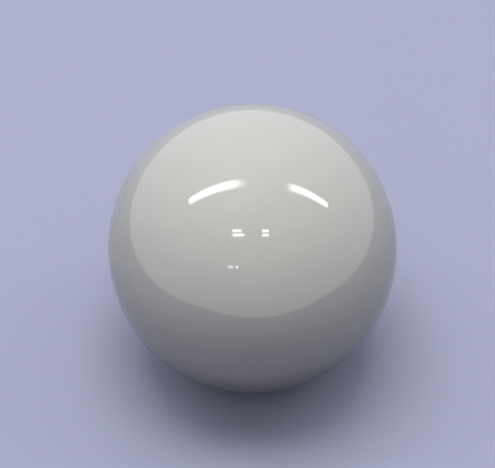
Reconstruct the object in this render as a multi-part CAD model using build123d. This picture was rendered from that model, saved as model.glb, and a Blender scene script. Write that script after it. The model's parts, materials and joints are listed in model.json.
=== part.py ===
"""Ceramic valve ball: one sintered blank, ground round and polished all over.

The ball is solid, with no bore, flat, stem slot or seam. It lifts off a ring-shaped
seat to let flow pass and drops back onto it to stop the flow, so any band of its
surface has to seal as well as any other.

The origin is the ball's centre, and -Z is the side that meets the seat.
"""

from build123d import *

import os

# Driving size, in millimetres
BALL_DIAMETER = 38.1  # one and a half inches across

# Where the solid is written
PARTS_FOLDER = "parts"


def valve_ball(diameter):
    """The whole ball as one solid sphere, centred on the origin."""
    ball = Sphere(radius=diameter / 2).solid()
    ball.label = "valve_ball"
    return ball


def write_part(solid):
    """Writes one solid to a file that has the solid's name."""
    export_step(solid, os.path.join(PARTS_FOLDER, solid.label + ".step"))


os.makedirs(PARTS_FOLDER, exist_ok=True)
write_part(valve_ball(BALL_DIAMETER))
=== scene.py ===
"""Dresses the ceramic valve ball: its polished surface, a plain floor, soft lamps and the camera.

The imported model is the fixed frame. Lengths are in metres, the ball's centre is the origin and +Z is up.
"""

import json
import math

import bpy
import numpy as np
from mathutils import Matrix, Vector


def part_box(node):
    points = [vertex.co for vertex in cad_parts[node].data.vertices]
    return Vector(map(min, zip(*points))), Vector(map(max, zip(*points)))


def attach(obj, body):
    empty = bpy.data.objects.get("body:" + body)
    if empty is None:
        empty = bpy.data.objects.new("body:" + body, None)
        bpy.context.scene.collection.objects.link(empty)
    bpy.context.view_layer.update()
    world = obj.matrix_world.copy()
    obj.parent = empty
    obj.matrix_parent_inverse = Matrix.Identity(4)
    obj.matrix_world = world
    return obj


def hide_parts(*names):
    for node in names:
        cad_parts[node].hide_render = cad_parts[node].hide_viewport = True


bl_info = {
    "name": "Ceramic Valve Ball",
    "version": (1, 0, 0),
    "blender": (4, 5, 0),
    "location": "3D View > Sidebar > Valve Ball",
    "description": "Builds a polished ceramic valve ball and a plain studio to show it in",
    "category": "Add Mesh",
}

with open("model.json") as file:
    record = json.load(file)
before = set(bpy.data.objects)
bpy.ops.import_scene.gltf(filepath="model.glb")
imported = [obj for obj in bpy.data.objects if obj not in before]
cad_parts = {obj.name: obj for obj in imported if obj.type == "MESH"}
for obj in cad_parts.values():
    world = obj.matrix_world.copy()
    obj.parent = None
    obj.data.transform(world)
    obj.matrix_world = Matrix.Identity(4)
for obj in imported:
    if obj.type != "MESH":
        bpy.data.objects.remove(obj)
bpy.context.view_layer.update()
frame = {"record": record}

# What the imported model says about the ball
BALL_NODE = "valve_ball"
BALL_FINISH = frame["record"]["materials"][0]
LOWEST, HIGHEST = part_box(BALL_NODE)
BALL_RADIUS = (HIGHEST.z - LOWEST.z) / 2
BALL_COLOUR = tuple(BALL_FINISH["base_color"][:3])

# The ball's place in the picture, in pixels
PICTURE_WIDTH = 495
PICTURE_HEIGHT = 468
BALL_ACROSS = 252.6
BALL_DOWN = 248.1
BALL_PIXELS = 144.6

# The camera's picture plane, in the millimetres that a lens is given in
SENSOR_WIDTH = 36.0

# Lapping lines on the polish: each set's direction across its planes, its spacing and a line's width
LAPPING = (
    (Vector((0.88, 0.31, 0.36)), 0.0023, 0.00004),
    (Vector((-0.37, 0.79, 0.49)), 0.0031, 0.00005),
    (Vector((0.21, -0.54, 0.81)), 0.0027, 0.00004),
)

# The floor's centre and half its size across and along, in ball radii, and its turn in degrees
FLOOR_CENTRE = Vector((0.80, 2.40))
FLOOR_HALF = Vector((8.0, 11.4))
FLOOR_TURN = 6.2

# The side that most of the soft light comes from: overhead, behind and a little to the left
LIGHT_SIDE = Vector((-0.15, 0.47, 0.87))

# The lamps overhead, whose lengths are all shares of their height. Each has its centre, its length and
# width, its turn in degrees, its share of the glow, and how far it fades in from its left and right ends.
LAMPS = {
    "left_strip": ((-0.565, 0.127), (1.07, 0.187), 2.3, 1.0, (0.10, 0.28)),
    "right_strip": ((0.950, 0.178), (1.12, 0.187), 1.8, 1.0, (0.20, 0.09)),
    "left_tube_back": ((-0.243, -0.580), (0.160, 0.085), 0.0, 0.85, (0.05, 0.05)),
    "left_tube_front": ((-0.230, -0.661), (0.210, 0.085), 0.0, 0.85, (0.05, 0.05)),
    "right_tube_back": ((0.199, -0.580), (0.110, 0.085), 0.0, 0.85, (0.05, 0.05)),
    "right_tube_front": ((0.209, -0.661), (0.120, 0.085), 0.0, 0.85, (0.05, 0.05)),
    "far_left_lamp": ((-0.572, -1.630), (0.150, 0.200), 0.0, 0.5, (0.05, 0.05)),
    "far_right_lamp": ((-0.396, -1.614), (0.085, 0.200), 0.0, 0.6, (0.05, 0.05)),
}

# The large softbox that gives most of the light, in the same terms. No mirror shows it.
SOFTBOX = ((-0.04, 0.08), (0.80, 0.80), 0.0, 1.0, (0.2, 0.2))

# Share of a lamp's width over which its brightness fades towards each long edge
LAMP_EDGE = 0.4


class Wire:
    """One output of a shader node. Arithmetic on wires and numbers adds Math nodes."""

    def __init__(self, graph, output):
        self.graph = graph
        self.output = output

    def __add__(self, other):
        return self.graph.math("ADD", self, other)

    def __sub__(self, other):
        return self.graph.math("SUBTRACT", self, other)

    def __rsub__(self, other):
        return self.graph.math("SUBTRACT", other, self)

    def __mul__(self, other):
        return self.graph.math("MULTIPLY", self, other)

    def __truediv__(self, other):
        return self.graph.math("DIVIDE", self, other)

    def __pow__(self, other):
        return self.graph.math("POWER", self, other)

    def __abs__(self):
        return self.graph.math("ABSOLUTE", self)

    __radd__ = __add__
    __rmul__ = __mul__


class Graph:
    """The node tree of a material, a lamp or the world."""

    def __init__(self, owner):
        owner.use_nodes = True
        self.tree = owner.node_tree
        self.tree.nodes.clear()

    def node(self, kind, inputs=None, **settings):
        """Adds a node, sets it up, then feeds its sockets. Returns its outputs as wires, by identifier."""
        made = self.tree.nodes.new("ShaderNode" + kind)
        for name, value in settings.items():
            setattr(made, name, value)
        sockets = {socket.identifier: socket for socket in made.inputs}
        for name, value in (inputs or {}).items():
            if isinstance(value, Wire):
                self.tree.links.new(value.output, sockets[name])
            else:
                sockets[name].default_value = value
        return {output.identifier: Wire(self, output) for output in made.outputs}

    def math(self, operation, *values):
        """Arithmetic on up to three values."""
        inputs = dict(zip(("Value", "Value_001", "Value_002"), values))
        return self.node("Math", inputs, operation=operation)["Value"]

    def blend(self, share, start, end):
        """The colour start where share is 0, end where it is 1, and a mixture between."""
        inputs = {"Factor_Float": share, "A_Color": (*start, 1), "B_Color": (*end, 1)}
        return self.node("Mix", inputs, data_type="RGBA")["Result_Color"]

    def rise(self, value, low, high):
        """0 where value is under low, 1 where it is over high, with a smooth step between."""
        inputs = {"Value": value, "From Min": low, "From Max": high}
        return self.node("MapRange", inputs, interpolation_type="SMOOTHSTEP")["Result"]

    def noise(self, place, size, detail=2.0):
        """Soft noise around 0.5 whose lumps are about one size across."""
        return self.node("TexNoise", {"Vector": place, "Scale": 1 / size, "Detail": detail})["Fac"]

    def seen(self):
        """1 where the camera sees a thing, also in a mirror or through glass, and 0 where it only gives light."""
        ray = self.node("LightPath")
        mirrored = self.math("MAXIMUM", ray["Is Glossy Ray"], ray["Is Transmission Ray"])
        return self.math("MAXIMUM", ray["Is Camera Ray"], mirrored)


def cube_sphere(radius, cells):
    """Points and quads of a sphere that is drawn from a cube's six faces.

    On each face, u and v run from -45 to 45 degrees in even steps. The point is (tan u, tan v, 1), brought
    to the length of the radius and turned to that face. Even angles keep the quads close to one size, and
    there are no poles. Points that two or three faces share are merged.
    """
    angle = np.linspace(-math.pi / 4, math.pi / 4, cells + 1)
    u, v = np.meshgrid(np.tan(angle), np.tan(angle), indexing="ij")
    axes = np.eye(3)
    points = []
    for k in range(3):
        along, across = axes[(k + 1) % 3], axes[(k + 2) % 3]
        for first, second, outward in ((along, across, axes[k]), (across, along, -axes[k])):
            points.append(u[..., None] * first + v[..., None] * second + outward)
    points = np.array(points).reshape(-1, 3)
    points *= radius / np.linalg.norm(points, axis=1, keepdims=True)

    index = np.arange(len(points)).reshape(6, cells + 1, cells + 1)
    corners = (index[:, :-1, :-1], index[:, 1:, :-1], index[:, 1:, 1:], index[:, :-1, 1:])
    quads = np.stack(corners, axis=-1).reshape(-1, 4)

    merge_distance = radius * 1e-6
    keys = np.round(points / merge_distance).astype(np.int64)
    _, kept, merged = np.unique(keys, axis=0, return_index=True, return_inverse=True)
    return points[kept], merged.reshape(-1)[quads]


def add_object(name, data):
    """Puts a mesh, lamp or camera into the scene, at the origin."""
    made = bpy.data.objects.new(name, data)
    bpy.context.scene.collection.objects.link(made)
    return made


def lapping_lines(graph, place, normal, spacing, width):
    """Thin rings round the ball, 1 on a line and 0 elsewhere, where planes at right angles to normal cut it.

    The planes are about one spacing apart, and bend a little. Only short stretches of the rings are left.
    """
    across = graph.node("VectorMath", {"Vector": place, "Vector_001": normal}, operation="DOT_PRODUCT")["Value"]
    bent = across + spacing * graph.noise(place, 6 * spacing, 0.0)
    distance = graph.math("PINGPONG", bent, spacing / 2)
    stretch = graph.rise(graph.noise(place, 1.5 * spacing, 1.0), 0.58, 0.66)
    return stretch * (1 - graph.rise(distance, 0.0, width))


def polished_zirconia(settings):
    """White zirconia, ground and polished to a mirror.

    The body is faintly cloudy, with sparse tiny pores. The polish has hazy patches and fine lapping lines.
    """
    material = bpy.data.materials.new("polished_zirconia")
    graph = Graph(material)
    place = graph.node("TexCoord")["Object"]

    # The sintered body: cloudy patches, and a finer mottle over them
    clouds = graph.noise(place, settings.cloud_size, 2.0)
    mottle = graph.noise(place, settings.cloud_size / 8, 4.0)
    shade = graph.rise(0.7 * clouds + 0.3 * mottle, 0.3, 0.7)
    colour = Vector(settings.colour)
    body = graph.blend(shade, colour * (1 - settings.cloudiness), colour * (1 + settings.cloudiness))

    # Pores: the surface cuts a few of the points that are scattered through the body as tiny bumped pits, and the
    # colour inside each pit is painted darker as painted shade
    points = graph.node("TexVoronoi", {"Vector": place, "Scale": 1 / settings.pore_spacing})["Distance"]
    share = settings.pore_radius / settings.pore_spacing
    solid = graph.rise(points, 0.3 * share, share)
    # Painted shade: inside each pore pit the colour drops to 0.8 of the body's colour
    painted_pore_shade = graph.node("Mix", {"Factor_Float": solid, "A_Color": (*colour * 0.8, 1), "B_Color": body}, data_type="RGBA")
    pitted = graph.node("Bump", {"Strength": 1.0, "Distance": settings.pore_radius / 4, "Height": solid})["Normal"]

    # The polish: hazy patches, and lapping lines on three sets of planes
    haze = graph.rise(graph.noise(place, settings.cloud_size / 2, 3.0), 0.4, 0.7)
    lines = sum(lapping_lines(graph, place, *each) for each in LAPPING)
    roughness = settings.roughness + settings.haze * haze + settings.line_haze * lines

    graph.node("OutputMaterial", {
        "Surface": graph.node("BsdfPrincipled", {
            "Base Color": painted_pore_shade["Result_Color"],
            "Roughness": roughness,
            "IOR": settings.ior,
            "Normal": pitted,
        })["BSDF"],
    })
    return material


class BallSettings(bpy.types.PropertyGroup):
    """Size and finish of the ball."""

    radius: bpy.props.FloatProperty(
        name="Radius",
        description="Radius of the ball",
        default=BALL_RADIUS,
        subtype="DISTANCE",
        unit="LENGTH",
    )
    cells: bpy.props.IntProperty(
        name="Cells",
        description="Quads along each edge of the six patches that make the ball",
        default=96,
        min=8,
        max=128,
    )
    colour: bpy.props.FloatVectorProperty(
        name="Colour",
        description="Colour of the ceramic body",
        default=BALL_COLOUR,
        subtype="COLOR",
        min=0,
        max=1,
    )
    cloudiness: bpy.props.FloatProperty(
        name="Cloudiness",
        description="How far the body's shade strays from its colour",
        default=0.012,
        subtype="FACTOR",
        min=0,
        max=0.2,
    )
    cloud_size: bpy.props.FloatProperty(
        name="Cloud size",
        description="Distance across a cloudy patch of the body",
        default=0.008,
        subtype="DISTANCE",
        unit="LENGTH",
    )
    pore_spacing: bpy.props.FloatProperty(
        name="Pore spacing",
        description="Distance between the pores that are scattered through the body",
        default=0.0016,
        subtype="DISTANCE",
        unit="LENGTH",
    )
    pore_radius: bpy.props.FloatProperty(
        name="Pore radius",
        description="Radius of the largest pore",
        default=0.00007,
        subtype="DISTANCE",
        unit="LENGTH",
    )
    roughness: bpy.props.FloatProperty(
        name="Roughness",
        description="Roughness of the clean polish",
        default=0.035,
        subtype="FACTOR",
        min=0,
        max=1,
    )
    haze: bpy.props.FloatProperty(
        name="Haze",
        description="How much rougher the hazy patches of the polish are",
        default=0.02,
        subtype="FACTOR",
        min=0,
        max=1,
    )
    line_haze: bpy.props.FloatProperty(
        name="Line haze",
        description="How much rougher the polish is on a lapping line",
        default=0.08,
        subtype="FACTOR",
        min=0,
        max=1,
    )
    ior: bpy.props.FloatProperty(
        name="Refractive index",
        description="Refractive index of the ceramic, which sets how strongly it mirrors",
        default=2.15,
        min=1,
        max=3,
    )


class StudioSettings(bpy.types.PropertyGroup):
    """The floor, the lamps and the camera."""

    floor_colour: bpy.props.FloatVectorProperty(
        name="Floor",
        description="Colour of the floor",
        default=(0.46, 0.475, 0.655),
        subtype="COLOR",
        min=0,
        max=1,
    )
    floor_bounce: bpy.props.FloatProperty(
        name="Floor bounce",
        description="Share of the floor's colour with which it throws light back up at the ball",
        default=0.08,
        subtype="FACTOR",
        min=0,
        max=1,
    )
    horizon_colour: bpy.props.FloatVectorProperty(
        name="Horizon",
        description="Colour of the backdrop at the horizon",
        default=(0.90, 0.91, 1.0),
        subtype="COLOR",
        min=0,
        max=1,
    )
    overhead_colour: bpy.props.FloatVectorProperty(
        name="Overhead",
        description="Colour of the backdrop straight above",
        default=(0.80, 0.80, 0.765),
        subtype="COLOR",
        min=0,
        max=1,
    )
    backdrop_level: bpy.props.FloatProperty(
        name="Backdrop level",
        description="Brightness of the backdrop, level with the side that most light comes from",
        default=0.96,
        min=0,
    )
    backdrop_slope: bpy.props.FloatProperty(
        name="Backdrop slope",
        description="How much brighter the backdrop is where most light comes from",
        default=0.14,
        min=0,
    )
    light_level: bpy.props.FloatProperty(
        name="Light level",
        description="Brightness of the soft light, level with the side that it mostly comes from",
        default=0.19,
        min=0,
    )
    light_slope: bpy.props.FloatProperty(
        name="Light slope",
        description="How much brighter the soft light is where it mostly comes from",
        default=0.32,
        min=0,
    )
    lamp_height: bpy.props.FloatProperty(
        name="Lamp height",
        description="Height of the strip lamps above the ball's centre",
        default=1.0,
        subtype="DISTANCE",
        unit="LENGTH",
    )
    lamp_glow: bpy.props.FloatProperty(
        name="Lamp glow",
        description="Brightness of a strip lamp's face, where 1 is white",
        default=5.0,
        min=0,
    )
    camera_elevation: bpy.props.FloatProperty(
        name="Camera elevation",
        description="Angle by which the camera looks down at the ball",
        default=math.radians(46.5),
        subtype="ANGLE",
        unit="ROTATION",
    )
    camera_distance: bpy.props.FloatProperty(
        name="Camera distance",
        description="Distance from the ball's centre to the camera, in ball radii",
        default=14.0,
        min=2,
    )


class VALVE_BALL_OT_polished_ball(bpy.types.Operator):
    """Builds the ball as one closed surface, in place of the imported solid"""

    bl_idname = "valve_ball.polished_ball"
    bl_label = "Polished Ball"

    def execute(self, context):
        settings = context.scene.valve_ball
        points, quads = cube_sphere(settings.radius, settings.cells)
        if len(points) != 6 * settings.cells**2 + 2:
            raise RuntimeError("the ball's six patches don't close")
        mesh = bpy.data.meshes.new("polished_ball")
        mesh.from_pydata(points, [], quads)
        mesh.shade_smooth()
        mesh.normals_split_custom_set_from_vertices(points / settings.radius)
        mesh.materials.append(polished_zirconia(settings))
        ball = add_object("polished_ball", mesh)
        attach(ball, "root")
        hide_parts(BALL_NODE)
        return {"FINISHED"}


def floor_surface(settings):
    """A plain pale matt floor, which throws less light back up at the ball than it shows."""
    material = bpy.data.materials.new("plain_floor")
    graph = Graph(material)
    colour = Vector(settings.floor_colour)
    pale = graph.node("BsdfDiffuse", {"Color": (*colour, 1)})["BSDF"]
    dim = graph.node("BsdfDiffuse", {"Color": (*colour * settings.floor_bounce, 1)})["BSDF"]
    inputs = {"Fac": graph.seen(), "Shader": dim, "Shader_001": pale}
    graph.node("OutputMaterial", {"Surface": graph.node("MixShader", inputs)["Shader"]})
    return material


def add_floor(settings):
    """A flat rectangle under the ball's lowest point, beyond which the backdrop shows."""
    turn = Matrix.Rotation(math.radians(FLOOR_TURN), 2)
    corners = []
    for across, along in ((-1, -1), (1, -1), (1, 1), (-1, 1)):
        corner = BALL_RADIUS * (FLOOR_CENTRE + turn @ Vector((across * FLOOR_HALF.x, along * FLOOR_HALF.y)))
        corners.append((*corner, LOWEST.z))
    mesh = bpy.data.meshes.new("floor")
    mesh.from_pydata(corners, [], [(0, 1, 2, 3)])
    mesh.materials.append(floor_surface(settings))
    add_object("floor", mesh)


def light_world(settings):
    """A soft surround. It gives most light from overhead and behind, and looks like a pale backdrop."""
    world = bpy.data.worlds.new("soft_surround")
    bpy.context.scene.world = world
    graph = Graph(world)
    direction = graph.node("TexCoord")["Generated"]

    facing = graph.node("VectorMath", {"Vector": direction, "Vector_001": LIGHT_SIDE}, operation="DOT_PRODUCT")
    strength = settings.light_level + settings.light_slope * facing["Value"]
    inputs = {"Color": (1, 1, 1, 1), "Strength": graph.math("MAXIMUM", strength, 0.0)}
    light = graph.node("Background", inputs)["Background"]

    height = graph.node("SeparateXYZ", {"Vector": direction})["Z"]
    colour = graph.blend(graph.math("MAXIMUM", height, 0.0), settings.horizon_colour, settings.overhead_colour)
    inputs = {"Color": colour, "Strength": settings.backdrop_level + settings.backdrop_slope * facing["Value"]}
    backdrop = graph.node("Background", inputs)["Background"]
    inputs = {"Fac": graph.seen(), "Shader": light, "Shader_001": backdrop}
    graph.node("OutputWorld", {"Surface": graph.node("MixShader", inputs)["Shader"]})


def add_lamp(settings, name, centre, size, turn, share, fades):
    """A flat lamp that hangs overhead, faces down and is soft at its edges, as the table of lamps gives it."""
    height = settings.lamp_height
    data = bpy.data.lights.new(name, "AREA")
    data.shape = "RECTANGLE"
    data.size, data.size_y = size[0] * height, size[1] * height
    data.energy = settings.lamp_glow * share * math.pi * data.size * data.size_y

    graph = Graph(data)
    face = graph.node("SeparateXYZ", {"Vector": graph.node("NewGeometry")["Parametric"]})
    lengthwise = graph.rise(face["X"], 0.0, fades[0]) * graph.rise(1 - face["X"], 0.0, fades[1])
    crosswise = graph.rise(face["Y"], 0.0, LAMP_EDGE) * graph.rise(1 - face["Y"], 0.0, LAMP_EDGE)
    glow = graph.node("Emission", {"Color": (1, 1, 1, 1), "Strength": lengthwise * crosswise})
    graph.node("OutputLight", {"Surface": glow["Emission"]})

    lamp = add_object(name, data)
    lamp.location = (centre[0] * height, centre[1] * height, height)
    lamp.rotation_euler.z = math.radians(turn)
    return lamp


def add_camera(settings):
    """The camera, aimed so that the ball has its place and size in the picture."""
    distance = settings.camera_distance
    focal_pixels = BALL_PIXELS * math.sqrt(distance**2 - 1)
    data = bpy.data.cameras.new("camera")
    data.sensor_width = SENSOR_WIDTH
    data.lens = SENSOR_WIDTH * focal_pixels / PICTURE_WIDTH
    camera = add_object("camera", data)

    elevation = settings.camera_elevation
    back = Vector((0, -math.cos(elevation), math.sin(elevation)))
    right = Vector((1, 0, 0))
    up = back.cross(right)
    metres_per_pixel = distance * BALL_RADIUS / focal_pixels
    aim = metres_per_pixel * (
        (PICTURE_WIDTH / 2 - BALL_ACROSS) * right + (BALL_DOWN - PICTURE_HEIGHT / 2) * up
    )
    camera.location = back * distance * BALL_RADIUS
    camera.rotation_mode = "QUATERNION"
    camera.rotation_quaternion = (aim - camera.location).to_track_quat("-Z", "Y")
    bpy.context.scene.camera = camera


class VALVE_BALL_OT_studio(bpy.types.Operator):
    """Builds the floor, the soft surround, the lamps and the camera"""

    bl_idname = "valve_ball.studio"
    bl_label = "Studio"

    def execute(self, context):
        settings = context.scene.valve_ball_studio
        add_floor(settings)
        light_world(settings)
        for name, lamp in LAMPS.items():
            add_lamp(settings, name, *lamp)
        softbox = add_lamp(settings, "softbox", *SOFTBOX)
        softbox.visible_glossy = False
        add_camera(settings)
        context.scene.view_settings.view_transform = "Standard"
        return {"FINISHED"}


class VALVE_BALL_PT_panel(bpy.types.Panel):
    """The ball's and the studio's settings, with a button to build each"""

    bl_label = "Valve Ball"
    bl_space_type = "VIEW_3D"
    bl_region_type = "UI"
    bl_category = "Valve Ball"

    def draw(self, context):
        scene = context.scene
        for settings, operator in (
            (scene.valve_ball, VALVE_BALL_OT_polished_ball),
            (scene.valve_ball_studio, VALVE_BALL_OT_studio),
        ):
            box = self.layout.box()
            for name in settings.bl_rna.properties.keys():
                if name not in ("rna_type", "name"):
                    box.prop(settings, name)
            box.operator(operator.bl_idname)


CLASSES = (
    BallSettings,
    StudioSettings,
    VALVE_BALL_OT_polished_ball,
    VALVE_BALL_OT_studio,
    VALVE_BALL_PT_panel,
)


def register():
    for each in CLASSES:
        bpy.utils.register_class(each)
    bpy.types.Scene.valve_ball = bpy.props.PointerProperty(type=BallSettings)
    bpy.types.Scene.valve_ball_studio = bpy.props.PointerProperty(type=StudioSettings)


def unregister():
    del bpy.types.Scene.valve_ball_studio
    del bpy.types.Scene.valve_ball
    for each in reversed(CLASSES):
        bpy.utils.unregister_class(each)


def main():
    """Builds everything."""
    register()
    bpy.ops.valve_ball.polished_ball()
    bpy.ops.valve_ball.studio()


if __name__ == "__main__":
    main()
